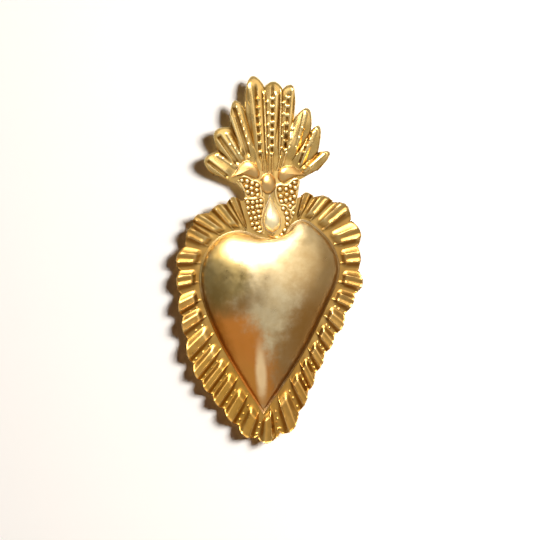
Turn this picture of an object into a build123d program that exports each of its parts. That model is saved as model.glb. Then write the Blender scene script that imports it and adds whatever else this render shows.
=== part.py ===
from build123d import *
from dataclasses import dataclass
import math
import os

# Sacred heart wall ornament in pressed brass sheet, hung by a ring behind its neck.
# Millimetres. X to the right, Z up, the front faces -Y and the wall is the plane Y = 0.
# Tables of places are shares of the named sizes beside them, as (across, up).

# Sheet and layers
sheet = 0.5
wall_gap = 5.0

# Heart
heart_width = 75.0
heart_height = 103.0
heart_rise = 14.0
heart_softness_share = 0.8
heart_flange = 1.2
heart_crown_share = (-0.01, 0.08)
heart_tip_share = (-0.045, -0.585)
heart_cleft_share = (0.055, 0.306)
heart_left_shares = [
    (-0.250, -0.349),
    (-0.436, -0.079),
    (-0.496, 0.132),
    (-0.430, 0.272),
    (-0.290, 0.348),
    (-0.218, 0.356),
    (-0.036, 0.317),
]
heart_right_shares = [
    (0.106, 0.328),
    (0.169, 0.389),
    (0.231, 0.415),
    (0.332, 0.379),
    (0.433, 0.302),
    (0.496, 0.180),
    (0.430, 0.015),
    (0.272, -0.228),
]

# Back pan
pan_flange = 2.2

# Pleated border
border_side = 13.5
border_end = 17.0
land_width = 3.0
pleat_rise = 2.6
pleat_knee_rise = 2.0
pleat_knee_share = 0.28
scallop_depth = 2.0
border_first_share = (-0.158, 0.396)
border_last_share = (0.168, 0.410)
border_tip_shares = [
    (-0.200, 0.410),
    (-0.281, 0.378),
    (-0.398, 0.334),
    (-0.441, 0.274),
    (-0.500, 0.167),
    (-0.500, 0.072),
    (-0.489, -0.032),
    (-0.468, -0.111),
    (-0.441, -0.219),
    (-0.398, -0.302),
    (-0.345, -0.358),
    (-0.286, -0.414),
    (-0.217, -0.477),
    (-0.131, -0.545),
    (-0.008, -0.571),
    (0.126, -0.517),
    (0.195, -0.406),
    (0.233, -0.338),
    (0.281, -0.258),
    (0.334, -0.183),
    (0.393, -0.107),
    (0.447, -0.016),
    (0.500, 0.064),
    (0.489, 0.171),
    (0.489, 0.270),
    (0.414, 0.378),
    (0.302, 0.414),
    (0.201, 0.429),
]
# The first and the last pleat end this far outside the neck tongue.
first_gap = 1.2
last_gap = 4.0
# The pleats point at a spot on the heart's axis, which sinks for the low pleats.
pleat_aim_share = 0.185
pleat_turn_share = -0.106
pleat_sink_share = 1.742

# Neck tongue, above the heart's cleft
neck_rise = 24.7
tongue_width = 21.0
tongue_top = 14.0
flame_tail = 13.7

# Flame
flame_width = 68.8
flame_height = 63.3
flame_rise = 3.0
flame_knee_rise = 2.1
flame_knee_share = 0.3
flame_ray_rise_shares = [1.0, 1.0, 0.9, 0.4, 0.4, 0.4, 0.9, 1.0, 1.0]
flame_root = 22.6
flame_focus_share = (-0.012, 0.0)
bow_breadth_share = 0.25
flame_notch_shares = [
    (-0.444, 0.194),
    (-0.401, 0.394),
    (-0.310, 0.600),
    (-0.188, 0.716),
    (-0.040, 0.942),
    (0.104, 0.926),
    (0.183, 0.649),
    (0.324, 0.551),
    (0.381, 0.381),
    (0.381, 0.233),
]
flame_tip_shares = [
    (-0.512, 0.319),
    (-0.429, 0.560),
    (-0.278, 0.823),
    (-0.124, 1.033),
    (0.036, 0.991),
    (0.187, 0.944),
    (0.305, 0.757),
    (0.397, 0.599),
    (0.476, 0.375),
]

# Wings, which reach over the heart's right lobe and down to its cleft
wing_overhang = 1.0
wing_gap = 2.3
channel_width = 5.4
wing_frame = 0.9
wing_frame_height = 0.5
bead_radius = 1.15
bead_pitch = 2.9
left_wing_shares = [
    (-0.731, 0.357),
    (-1.000, 0.238),
    (-0.743, 0.079),
    (-0.731, -0.048),
    (-0.596, -0.365),
    (-0.507, -0.508),
    (-0.274, -0.571),
]
right_wing_shares = [
    (0.611, 0.397),
    (0.909, 0.254),
    (0.765, -0.238),
    (0.611, -0.428),
    (0.403, -0.587),
    (0.250, -0.640),
]
wing_top_share = 0.412
left_wing_bottom_share = -0.587
right_wing_bottom_share = -0.650

# Leaves, boss and drop are placed from the neck's centre, the lip from the heart's cleft
leaf_length = 15.4
leaf_rise = 2.6
leaf_half_width = 4.4
left_leaf_crown_share = (-0.620, 0.992)
left_leaf_top_shares = [
    (-1.382, 0.684),
    (-1.187, 0.939),
    (-0.939, 1.240),
    (-0.709, 1.293),
    (-0.443, 1.063),
    (-0.337, 0.797),
    (-0.400, 0.660),
    (-0.530, 0.640),
]
left_leaf_low_shares = [(-0.530, 0.640), (-0.900, 0.755), (-1.382, 0.684)]
right_leaf_crown_share = (0.532, 0.815)
right_leaf_top_shares = [
    (0.514, 0.496),
    (0.354, 0.552),
    (0.283, 0.744),
    (0.408, 1.021),
    (0.634, 1.120),
    (0.868, 1.070),
    (1.081, 0.921),
    (1.254, 0.769),
]
right_leaf_low_shares = [
    (1.254, 0.769),
    (0.974, 0.733),
    (0.691, 0.609),
    (0.514, 0.496),
]
boss_width = 7.9
boss_height = 11.3
boss_rise = 3.2
boss_shift = -0.8
boss_lift = 7.3
drop_width = 10.1
drop_gap = 0.3
drop_rise = 3.6
drop_shift = 0.2
drop_lift = 1.5
drop_crown_share = (0.115, -0.657)
drop_right_shares = [(0.0, 0.0), (0.304, -0.299), (0.612, -0.631), (0.521, -0.860), (0.168, -1.0)]
drop_left_shares = [(0.168, -1.0), (-0.236, -0.888), (-0.393, -0.657), (-0.209, -0.312), (0.0, 0.0)]
lip_width = 10.9
lip_thickness = 1.4
lip_shift = -5.5
lip_lift = 4.5
lip_low_shares = [(0.0, 0.0), (0.526, -0.321), (1.0, 0.055)]
lip_top_shares = [(1.0, 0.055), (0.500, -0.075), (0.0, 0.0)]

# Strap, ring and rivets behind the neck
hinge_lift = 1.3
ring_radius = 8.0
ring_wire_radius = 0.8
ring_clearance = 0.6
strap_thickness = 0.6
strap_width = 5.0
strap_foot = 5.5
rivet_radius = 0.8
rivet_spread = 4.9
rivet_head_radius = 1.3
rivet_head_height = 0.6
rivet_rounding = 0.4

# Sizes and places that follow from the heart's
border_width = heart_width + 2 * border_side
border_height = heart_height + 2 * border_end
cleft_across = heart_cleft_share[0] * heart_width
cleft_height = heart_cleft_share[1] * heart_height
lobe_across = heart_right_shares[2][0] * heart_width
neck_height = cleft_height + neck_rise
neck = (0.0, neck_height)
wing_width = lobe_across + wing_overhang
wing_height = (neck_rise - wing_gap) / -right_wing_bottom_share
drop_length = neck_rise + drop_lift - lip_lift - drop_gap

# Layers, from the wall to the front
land_back = -wall_gap
land_front = land_back - sheet
flange_front = land_front - sheet
wing_front = flange_front - sheet
arch_radius = ring_wire_radius + ring_clearance
arch_outside = arch_radius + strap_thickness
ring_axis = land_back + arch_outside
hinge_height = neck_height + hinge_lift

# Steps used to draw domes and to walk round the heart
dome_angles = [0, 18, 36, 54, 72]
walk_steps = 90
flank_steps = 32
ellipse_steps = 6


def placed(shares, width, height, centre=(0.0, 0.0)):
    """Turn shares of a width and a height into places about a centre."""
    return [(centre[0] + across * width, centre[1] + up * height) for across, up in shares]


def at(place, y):
    """Give the point of a place (across, up) at depth y."""
    return Vector(place[0], y, place[1])


def towards(start, goal, distance):
    """Give the place that lies a distance from start on the way to goal."""
    run = math.dist(start, goal)
    across = (goal[0] - start[0]) / run
    up = (goal[1] - start[1]) / run
    return (start[0] + across * distance, start[1] + up * distance)


def stroke(places, y):
    """Draw one stroke of an outline: a line, an arc or a smooth curve."""
    points = [at(place, y) for place in places]
    if len(points) == 2:
        return Edge.make_line(*points)
    if len(points) == 3:
        return Edge.make_three_point_arc(*points)
    return Edge.make_spline(points)


def loop(strokes, crown, grow, y):
    """Draw a closed outline at depth y, grown or shrunk about its crown."""
    edges = []
    for places in strokes:
        scaled = [
            (crown[0] + grow * (across - crown[0]), crown[1] + grow * (up - crown[1]))
            for across, up in places
        ]
        edges.append(stroke(scaled, y))
    return Wire(edges)


def plate(face, depth):
    """Thicken a flat face towards the front."""
    return extrude(face, amount=depth, dir=(0, -1, 0))


@dataclass
class Form:
    """A domed shape: its outline's strokes, its highest place and its sizes."""

    strokes: list
    crown: tuple
    half: float
    base: float
    rise: float
    softness: float = 0.0


def rounded(place, form, share):
    """Draw a place of a form's outline towards a circle about the form's crown."""
    circle = towards(form.crown, place, form.half)
    across = place[0] + (circle[0] - place[0]) * share
    up = place[1] + (circle[1] - place[1]) * share
    return (across, up)


def filled(form, inset=0.0):
    """Raise a form into a closed dome, smaller by an inset all over."""
    size = 1 - inset / form.half
    rings = []
    for angle in dome_angles:
        turn = math.radians(angle)
        share = form.softness * math.sin(turn) ** 2
        eased = [[rounded(place, form, share) for place in places] for places in form.strokes]
        depth = form.base - (form.rise - inset) * math.sin(turn)
        rings.append(loop(eased, form.crown, size * math.cos(turn), depth))
    top = Vertex(at(form.crown, form.base - form.rise + inset))
    return Solid.make_loft(rings + [top])


def pressed(form):
    """Press a form from sheet, open at the back."""
    return filled(form) - filled(form, sheet)


def folded_sheet(faces, outer_edges):
    """Close a sheet's front faces into one solid with the sheet's thickness."""
    back = Vector(0, sheet, 0)
    rears = [face.moved(Location(back)) for face in faces]
    sides = [Face.extrude(edge, back) for edge in outer_edges]
    return Solid(Shell(faces + rears + sides))


def heart_flanks():
    """Give the heart's two flanks, from the tip up to the cleft and down again."""
    tip, cleft = placed([heart_tip_share, heart_cleft_share], heart_width, heart_height)
    left = placed(heart_left_shares, heart_width, heart_height)
    right = placed(heart_right_shares, heart_width, heart_height)
    return [[tip] + left + [cleft], [cleft] + right + [tip]]


def heart_crown():
    """Give the place of the heart's highest point."""
    return placed([heart_crown_share], heart_width, heart_height)[0]


def outward(edge, share):
    """Give the direction (across, up) that leads out of the heart at a share of a flank."""
    way = edge.tangent_at(share)
    return (-way.Z, way.X)


def corner(place, one, two, margin):
    """Move a sharp corner out so that both its sides move by the margin."""
    spread = 1 + one[0] * two[0] + one[1] * two[1]
    across = (one[0] + two[0]) / spread
    up = (one[1] + two[1]) / spread
    return (place[0] + across * margin, place[1] + up * margin)


def heart_strokes(margin):
    """Give the heart's flanks moved out by a margin."""
    flanks = heart_flanks()
    if margin == 0:
        return flanks
    edges = [stroke(places, 0) for places in flanks]
    tip = corner(flanks[0][0], outward(edges[1], 1), outward(edges[0], 0), margin)
    cleft = corner(flanks[1][0], outward(edges[0], 1), outward(edges[1], 0), margin)
    moved = []
    for edge in edges:
        places = []
        for step in range(1, flank_steps):
            point = edge.position_at(step / flank_steps)
            out = outward(edge, step / flank_steps)
            places.append((point.X + out[0] * margin, point.Z + out[1] * margin))
        moved.append(places)
    return [[tip] + moved[0] + [cleft], [cleft] + moved[1] + [tip]]


def heart_face(margin, y):
    """Draw the heart's outline moved out by a margin, as a flat face."""
    return Face(loop(heart_strokes(margin), heart_crown(), 1, y))


def heart_walk(margin):
    """Give places all round the heart, a margin outside it."""
    walk = []
    for places in heart_strokes(margin):
        edge = stroke(places, 0)
        for step in range(walk_steps):
            point = edge.position_at(step / walk_steps)
            walk.append((point.X, point.Z))
    return walk


def crossing(start, goal, walk):
    """Find where the line from start to goal first meets a walk."""
    ahead = (goal[0] - start[0], goal[1] - start[1])
    shares = []
    for one, two in zip(walk, walk[1:] + walk[:1]):
        side = (two[0] - one[0], two[1] - one[1])
        apart = (one[0] - start[0], one[1] - start[1])
        slope = ahead[0] * side[1] - ahead[1] * side[0]
        if slope == 0:
            continue
        along = (apart[0] * side[1] - apart[1] * side[0]) / slope
        across = (apart[0] * ahead[1] - apart[1] * ahead[0]) / slope
        if 0 <= across <= 1 and 0 < along < 1:
            shares.append(along)
    share = min(shares)
    return (start[0] + ahead[0] * share, start[1] + ahead[1] * share)


def pleat_aim(place):
    """Give the spot on the heart's axis that the pleat at a place points at."""
    low = max(0.0, pleat_turn_share - place[1] / heart_height)
    return (0.0, heart_height * (pleat_aim_share - pleat_sink_share * low * low))


def end_root(across, walk):
    """Give the root place straight below the top, a distance across from the axis."""
    return crossing((across, border_height / 2), (across, 0.0), walk)


def border_lines():
    """Give the border's outer valley places, its tips and its root places."""
    tips = placed(border_tip_shares, border_width, border_height)
    ends = placed([border_first_share, border_last_share], border_width, border_height)
    valleys = [ends[0]]
    for one, two in zip(tips, tips[1:]):
        middle = ((one[0] + two[0]) / 2, (one[1] + two[1]) / 2)
        valleys.append(towards(middle, pleat_aim(middle), scallop_depth))
    valleys.append(ends[1])
    walk = heart_walk(land_width)
    roots = [crossing(valley, pleat_aim(valley), walk) for valley in valleys[1:-1]]
    first = end_root(-tongue_width / 2 - first_gap, walk)
    last = end_root(tongue_width / 2 + last_gap, walk)
    return valleys, tips, [first] + roots + [last]


def neck_places(half, low, high):
    """Give the four corners of a neck tongue, from low left round by the top."""
    return [(-half, low), (-half, high), (half, high), (half, low)]


def bowed(start, peak, finish, spread):
    """Draw a curve from start to finish that passes a peak halfway."""
    pull = (peak - (start + finish) / 8) * 4 / 3
    return Edge.make_bezier(start, pull - spread, pull + spread, finish)


def knee(fold, crest, share, rise):
    """Draw the curve on which a pleat or ray bends, between its fold and its crest."""
    places = []
    for step in range(3):
        one = fold.position_at(step / 2)
        two = crest.position_at(step / 2)
        places.append(one + (two - one) * share)
    start, middle, finish = places
    peak = Vector(middle.X, start.Y - rise, middle.Z)
    return bowed(start, peak, finish, (finish - start) * bow_breadth_share)


def bent(fold, crest, share, rise):
    """Make the two faces of a pleat or ray, steep up to its knee and slow above it."""
    middle = knee(fold, crest, share, rise)
    return [
        Face.make_surface_from_curves(fold, middle),
        Face.make_surface_from_curves(middle, crest),
    ]


def pleated_border():
    """Press the glory: a flat land with a heart window, a neck tongue and the pleats."""
    valleys, tips, roots = border_lines()
    front = [at(root, land_front) for root in roots]
    pleats = []
    free = []
    for number, tip in enumerate(tips):
        fold = Edge.make_line(front[number], front[number + 1])
        crest = Edge.make_three_point_arc(
            at(valleys[number], land_front),
            at(tip, land_front - pleat_rise),
            at(valleys[number + 1], land_front),
        )
        pleats += bent(fold, crest, pleat_knee_share, pleat_knee_rise)
        free.append(crest)
    low = min(valleys[0][1], valleys[-1][1])
    tongue = neck_places(tongue_width / 2, low, neck_height + tongue_top)
    top = [at(place, land_front) for place in valleys[:1] + tongue + valleys[-1:]]
    free += [Edge.make_line(one, two) for one, two in zip(top, top[1:])]
    window = heart_face(-sheet, land_front).outer_wire()
    outer = Wire.make_polygon(front + top[::-1])
    land = Face(outer, [window])
    free += window.edges()
    return folded_sheet([land] + pleats, free)


def flame_lobe(focus, one, tip, two, rise):
    """Draw a ray's end from notch to notch, raised and rounded at its tip."""
    start = at(one, flange_front)
    finish = at(two, flange_front)
    peak = at(tip, flange_front - rise)
    side = Vector(tip[1] - focus[1], 0, focus[0] - tip[0]).normalized()
    return bowed(start, peak, finish, side * (finish - start).dot(side) * bow_breadth_share)


def flame_crown():
    """Press the flame: nine fluted rays on a flat root with a tail down the neck."""
    focus = placed([flame_focus_share], flame_width, flame_height, neck)[0]
    notches = placed(flame_notch_shares, flame_width, flame_height, neck)
    tips = placed(flame_tip_shares, flame_width, flame_height, neck)
    roots = [at(towards(focus, notch, flame_root), flange_front) for notch in notches]
    rays = []
    free = []
    for number, (tip, share) in enumerate(zip(tips, flame_ray_rise_shares)):
        fold = Edge.make_line(roots[number], roots[number + 1])
        rise = flame_rise * share
        lobe = flame_lobe(focus, notches[number], tip, notches[number + 1], rise)
        rays += bent(fold, lobe, flame_knee_share, flame_knee_rise * share)
        free.append(lobe)
    free.append(Edge.make_line(roots[0], at(notches[0], flange_front)))
    free.append(Edge.make_line(roots[-1], at(notches[-1], flange_front)))
    half = tongue_width / 2
    shoulder = min(roots[0].Z, roots[-1].Z) - 2 * sheet
    tail = neck_places(half, shoulder, neck_height - flame_tail)
    edge = [roots[-1]] + [at(place, flange_front) for place in tail[::-1]] + [roots[0]]
    free += [Edge.make_line(one, two) for one, two in zip(edge, edge[1:])]
    root = Face(Wire.make_polygon(roots + edge[1:-1]))
    return folded_sheet([root] + rays, free)


def heart_dome():
    """Press the heart: a hollow dome with a narrow flat flange."""
    form = Form(
        heart_strokes(0),
        heart_crown(),
        heart_width / 2,
        land_front,
        heart_rise,
        heart_softness_share,
    )
    hollow = plate(heart_face(-sheet, land_front), sheet)
    ring = plate(heart_face(heart_flange, land_front), sheet) - hollow
    return pressed(form) + ring


def back_pan():
    """Press the shallow pan that closes the heart's back and rests on the wall."""
    hollow = plate(heart_face(-sheet, -sheet), wall_gap - sheet)
    wall = plate(heart_face(0, 0), wall_gap)
    rim = plate(heart_face(pan_flange, land_back + sheet), sheet)
    return wall + rim - hollow


def bead_places(plot):
    """Spread beads in staggered rows over a flat plot, clear of its frame."""
    box = plot.bounding_box()
    edge = plot.outer_wire()
    row_pitch = bead_pitch * math.sqrt(3) / 2
    rows = int(box.size.Z / row_pitch)
    columns = int(box.size.X / bead_pitch)
    places = []
    for row in range(rows + 1):
        for column in range(columns + 1):
            across = box.min.X + (column + (row % 2) / 2) * bead_pitch
            point = Vector(across, box.min.Y, box.min.Z + row * row_pitch)
            clear = edge.distance_to(Vertex(point)) > wing_frame + bead_radius
            if clear and plot.is_inside(point):
                places.append(point)
    return places


def wing(side, outline_shares, bottom_share):
    """Make one wing: a thin plate with a raised frame and a field of beads."""
    inner = side * channel_width / 2
    outline = placed(outline_shares, wing_width, wing_height, neck)
    ends = [
        (inner, neck_height + bottom_share * wing_height),
        (inner, neck_height + wing_top_share * wing_height),
    ]
    corners = [at(place, flange_front) for place in outline + ends]
    face = Face(Wire.make_polygon(corners))
    front = face.moved(Location((0, -sheet, 0)))
    field = offset(Sketch() + front, amount=-wing_frame, kind=Kind.INTERSECTION).face()
    middle = (Align.CENTER, Align.CENTER, Align.MIN)
    bead = Rot(90, 0, 0) * Sphere(bead_radius, 0, 90, align=middle)
    relief = plate(front, wing_frame_height) - plate(field, wing_frame_height)
    relief += [Pos(place) * bead for place in bead_places(front)]
    return plate(face, sheet) + (relief - neck_covers())


def leaf(crown_share, top_shares, low_shares):
    """Give the form of one smooth leaf, round at the boss and pointed outside."""
    crown = placed([crown_share], leaf_length, leaf_length, neck)[0]
    top = placed(top_shares, leaf_length, leaf_length, neck)
    low = placed(low_shares, leaf_length, leaf_length, neck)
    return Form([top, low], crown, leaf_half_width, wing_front, leaf_rise)


def left_leaf():
    """Give the left leaf's form."""
    return leaf(left_leaf_crown_share, left_leaf_top_shares, left_leaf_low_shares)


def right_leaf():
    """Give the right leaf's form."""
    return leaf(right_leaf_crown_share, right_leaf_top_shares, right_leaf_low_shares)


def oval_boss():
    """Give the form of the smooth oval boss between the leaves."""
    centre = (boss_shift, neck_height + boss_lift)
    turns = [math.pi * step / ellipse_steps for step in range(ellipse_steps + 1)]
    shares = [(math.cos(turn) / 2, math.sin(turn) / 2) for turn in turns]
    top = placed(shares, boss_width, boss_height, centre)
    low = placed(shares, -boss_width, -boss_height, centre)
    return Form([top, low], centre, boss_width / 2, wing_front, boss_rise)


def drop_boss():
    """Give the form of the smooth drop that hangs below the boss."""
    top = (drop_shift, neck_height + drop_lift)
    crown = placed([drop_crown_share], drop_width, drop_length, top)[0]
    right = placed(drop_right_shares, drop_width, drop_length, top)
    left = placed(drop_left_shares, drop_width, drop_length, top)
    return Form([right, left], crown, drop_width / 2, wing_front, drop_rise)


def neck_covers():
    """Fill the smooth pieces that lie on the wings, to clear the beads under them."""
    forms = [left_leaf(), right_leaf(), oval_boss(), drop_boss()]
    return [filled(form) for form in forms] + [cleft_lip()]


def cleft_lip():
    """Make the small lip over the heart's cleft."""
    start = (cleft_across + lip_shift, cleft_height + lip_lift)
    low = placed(lip_low_shares, lip_width, lip_width, start)
    top = placed(lip_top_shares, lip_width, lip_width, start)
    return plate(Face(loop([low, top], start, 1, wing_front)), lip_thickness)


def block(width, back, front, low, high):
    """Make a block centred across, from its back and front depths and its heights."""
    solid = Box(width, back - front, high - low)
    return Pos(0, (back + front) / 2, (low + high) / 2) * solid


def rivet_heights():
    """Give the heights of the rivets, below and above the ring's hinge."""
    return [hinge_height - rivet_spread, hinge_height + rivet_spread]


def rivet_shanks():
    """Make the rivets' shanks, which also cut their holes."""
    back = land_back + strap_thickness
    shank = Rot(90, 0, 0) * Cylinder(rivet_radius, back - flange_front)
    return [Pos(0, (back + flange_front) / 2, height) * shank for height in rivet_heights()]


def hanging_strap():
    """Bend the saddle strap: two flat feet and an arch over the ring's wire."""
    reach = arch_outside + strap_foot
    feet = block(
        strap_width,
        land_back + strap_thickness,
        land_back,
        hinge_height - reach,
        hinge_height + reach,
    )
    axis = Pos(0, ring_axis, hinge_height) * Rot(0, 90, 0)
    arch = axis * Cylinder(arch_outside, strap_width)
    arch += block(
        strap_width,
        ring_axis,
        land_back,
        hinge_height - arch_outside,
        hinge_height + arch_outside,
    )
    hollow = axis * Cylinder(arch_radius, strap_width)
    hollow += block(
        strap_width,
        ring_axis,
        land_back,
        hinge_height - arch_radius,
        hinge_height + arch_radius,
    )
    return feet + arch - hollow - rivet_shanks()


def hanging_ring():
    """Bend the wire ring, which hangs from the strap's arch."""
    ring = Rot(90, 0, 0) * Torus(ring_radius, ring_wire_radius)
    return Pos(0, ring_axis, hinge_height - ring_radius) * ring


def strap_rivets():
    """Make the two rivets, with a round head behind and a flat one in front."""
    rear = land_back + strap_thickness
    rivets = []
    for shank, height in zip(rivet_shanks(), rivet_heights()):
        head = Rot(-90, 0, 0) * Cylinder(rivet_head_radius, rivet_head_height)
        head = fillet(head.edges().sort_by(Axis.Y)[-1:], rivet_rounding)
        tail = Rot(90, 0, 0) * Cylinder(rivet_head_radius, sheet)
        rivet = shank + Pos(0, rear + rivet_head_height / 2, height) * head
        rivets.append(rivet + Pos(0, flange_front - sheet / 2, height) * tail)
    return Compound([rivet.solid() for rivet in rivets])


def drilled(solid):
    """Drill the rivet holes through a sheet."""
    return solid - rivet_shanks()


def main():
    """Make every piece and write each to its own file."""
    pieces = {
        "heart_dome": heart_dome(),
        "pleated_border": drilled(pleated_border()),
        "flame_crown": drilled(flame_crown()),
        "back_pan": back_pan(),
        "left_wing": wing(-1, left_wing_shares, left_wing_bottom_share),
        "right_wing": wing(1, right_wing_shares, right_wing_bottom_share),
        "left_leaf": pressed(left_leaf()),
        "right_leaf": pressed(right_leaf()),
        "oval_boss": pressed(oval_boss()),
        "drop_boss": pressed(drop_boss()),
        "cleft_lip": cleft_lip(),
        "hanging_strap": hanging_strap(),
        "hanging_ring": hanging_ring(),
        "strap_rivets": strap_rivets(),
    }
    os.makedirs("parts", exist_ok=True)
    for name, piece in pieces.items():
        export_step(piece, f"parts/{name}.step")


main()
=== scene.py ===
"""Dressed model of a sacred heart wall ornament pressed from thin brass sheet.

The frame brings the solid parts. Over them go the polished heart, the pleated glory
round it, the fluted flame above and the beaded neck between them, each in its brass.
Lengths in the classes are millimetres in the frame's own axes: x runs to the right,
z up, the front faces -y and the wall is the plane y = 0.
"""

from __future__ import annotations

import logging
import math
import random
from dataclasses import dataclass, field
from enum import Enum

import bpy
import numpy as np
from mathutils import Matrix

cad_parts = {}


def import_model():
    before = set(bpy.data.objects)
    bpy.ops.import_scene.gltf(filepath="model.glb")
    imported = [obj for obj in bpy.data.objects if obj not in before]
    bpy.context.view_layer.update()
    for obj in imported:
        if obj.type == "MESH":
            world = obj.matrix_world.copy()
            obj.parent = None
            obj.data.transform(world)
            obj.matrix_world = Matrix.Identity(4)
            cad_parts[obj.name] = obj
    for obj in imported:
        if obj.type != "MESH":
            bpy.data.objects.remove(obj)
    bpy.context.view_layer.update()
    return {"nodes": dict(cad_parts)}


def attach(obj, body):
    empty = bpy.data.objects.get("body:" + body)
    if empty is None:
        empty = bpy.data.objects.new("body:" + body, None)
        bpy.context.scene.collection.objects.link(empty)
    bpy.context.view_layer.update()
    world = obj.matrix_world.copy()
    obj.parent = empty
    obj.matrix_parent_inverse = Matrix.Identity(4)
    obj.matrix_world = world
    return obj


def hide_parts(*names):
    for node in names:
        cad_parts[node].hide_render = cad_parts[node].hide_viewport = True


Array = np.ndarray
Piece = bpy.types.Object
Material = bpy.types.Material
Tree = bpy.types.NodeTree
Node = bpy.types.Node
Socket = bpy.types.NodeSocket
Place = tuple[float, float]
Places = tuple[Place, ...]
Line = tuple[Place, Place]

MM = 0.001
WELD_REACH = 0.002
SOFT = "SMOOTHSTEP"
TINY = 1e-12
STUD_CORE = 0.25
OVAL_STEPS = 9
DOME_CREASE = 50.0
PLEAT_CREASE = 42.0
WIRE_CREASE = 40.0
SHEET = 0.5
LAND_LEVEL = -5.5
FLANGE_LEVEL = LAND_LEVEL - SHEET
WING_LEVEL = FLANGE_LEVEL - SHEET
NECK_HEIGHT = 56.218

log = logging.getLogger("ornament")


@dataclass(frozen=True)
class Photograph:
    """How the photograph's 540 by 540 frame lies on the ornament's front."""

    pixel: float = 0.5457
    axis_px: float = 269.5
    level_px: float = 300.0
    frame_px: float = 540.0

    def place(self, spot: Place) -> Array:
        """Turn a pixel place into a place (across, up) in millimetres."""
        across = (spot[0] - self.axis_px) * self.pixel
        return np.array([across, (self.level_px - spot[1]) * self.pixel])

    def places(self, spots: Places) -> Array:
        """Turn several pixel places into places in millimetres."""
        return np.array([self.place(spot) for spot in spots])


PHOTO = Photograph()


def ease(value: Array, low: float, high: float) -> Array:
    """Step smoothly from 0 at low to 1 at high."""
    share = np.clip((value - low) / (high - low), 0.0, 1.0)
    return share * share * (3.0 - 2.0 * share)


def fall(value: Array, low: float, high: float) -> Array:
    """Step smoothly from 1 at low to 0 at high."""
    return 1.0 - ease(value, low, high)


def mound(away: Array, half: float, core: float) -> Array:
    """Stand at 1 over a core, a share of the half width, and fall to 0 at its end."""
    return fall(away, half * core, half)


def swell(value: Array, middle: float, half: float) -> Array:
    """Swell to 1 at the middle and fade away on both sides."""
    return np.exp(-(((value - middle) / half) ** 2))


def mix(one: Array, two: Array, share: float | Array) -> Array:
    """Give the place that lies a share of the way from one to two."""
    return one + (two - one) * share


def scaled(shares: Place | Places, width: float, height: float, up: float = 0.0) -> Array:
    """Turn shares of a width and a height into places, raised by up."""
    return np.array(shares) * (width, height) + (0.0, up)


def smooth_line(places: Array, shares: Array) -> Array:
    """Run a natural cubic through places.

    Args:
        places: The places that the line passes, in order.
        shares: Shares of its length, from 0 to 1.

    Returns:
        The line's places at those shares.
    """
    gaps = np.linalg.norm(np.diff(places, axis=0), axis=1)
    run = np.concatenate([[0.0], np.cumsum(gaps)])
    system = np.eye(len(places))
    bend = np.zeros_like(places)
    for index in range(1, len(places) - 1):
        before, after = gaps[index - 1], gaps[index]
        system[index, index - 1 : index + 2] = before, 2 * (before + after), after
        ahead = (places[index + 1] - places[index]) / after
        bend[index] = 6 * (ahead - (places[index] - places[index - 1]) / before)
    bend = np.linalg.solve(system, bend)
    reach = shares * run[-1]
    cell = np.clip(np.searchsorted(run, reach, side="right") - 1, 0, len(places) - 2)
    gap = gaps[cell][:, None]
    left = (run[cell + 1] - reach)[:, None]
    right = (reach - run[cell])[:, None]
    curve = (bend[cell] * left**3 + bend[cell + 1] * right**3) / (6 * gap)
    curve += (places[cell] / gap - bend[cell] * gap / 6) * left
    return curve + (places[cell + 1] / gap - bend[cell + 1] * gap / 6) * right


def standing(places: Array, depth: float | Array) -> Array:
    """Stand flat places (across, up) at a depth, as points (x, y, z)."""
    depths = np.broadcast_to(depth, places.shape[:-1])
    return np.stack([places[..., 0], depths, places[..., 1]], axis=-1)


def select_only(piece: Piece) -> None:
    """Select one piece and make it active."""
    bpy.ops.object.select_all(action="DESELECT")
    piece.select_set(True)
    bpy.context.view_layer.objects.active = piece


def named(name: str) -> Piece:
    """Name the piece that an operator has just added."""
    piece = bpy.context.object
    piece.name = name
    piece.data.name = name
    return piece


def edit_all(piece: Piece) -> None:
    """Open a piece in edit mode with all of it selected."""
    select_only(piece)
    bpy.ops.object.mode_set(mode="EDIT")
    bpy.ops.mesh.select_all(action="SELECT")


def weld(piece: Piece) -> None:
    """Merge the vertices that touch, and drop what has no area."""
    edit_all(piece)
    bpy.ops.mesh.remove_doubles(threshold=WELD_REACH * MM)
    bpy.ops.mesh.dissolve_degenerate(threshold=WELD_REACH * MM / 2)
    bpy.ops.object.mode_set(mode="OBJECT")


def face_front(piece: Piece) -> None:
    """Turn an open sheet's faces to the front."""
    if sum(polygon.normal.y * polygon.area for polygon in piece.data.polygons) >= 0:
        edit_all(piece)
        bpy.ops.mesh.flip_normals()
        bpy.ops.object.mode_set(mode="OBJECT")


def thicken(piece: Piece, thickness: float = SHEET) -> None:
    """Give an open sheet its thickness towards the wall."""
    wall = piece.modifiers.new("wall", "SOLIDIFY")
    wall.thickness = thickness * MM
    wall.offset = -1.0
    select_only(piece)
    bpy.ops.object.modifier_apply(modifier=wall.name)


def lay_sheet(name: str, rows: Array, relief: Array) -> Piece:
    """Lay a grid primitive onto rows of points, as a sheet open at the back.

    Args:
        name: The piece's name.
        rows: Points in millimetres, rows by columns by three.
        relief: How hollow (1) or proud (-1) the metal is there, with any painted shade added, rows
            by columns.

    Returns:
        The sheet, welded where its edges meet, facing the front.
    """
    count, width = rows.shape[:2]
    bpy.ops.object.select_all(action="DESELECT")
    bpy.ops.mesh.primitive_grid_add(x_subdivisions=width - 1, y_subdivisions=count - 1, size=1.0)
    piece = named(name)
    piece.data.vertices.foreach_set("co", (rows * MM).ravel())
    note = piece.data.attributes.new("relief", "FLOAT", "POINT")
    note.data.foreach_set("value", np.ascontiguousarray(relief, dtype=np.float32).ravel())
    weld(piece)
    face_front(piece)
    return piece


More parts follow.
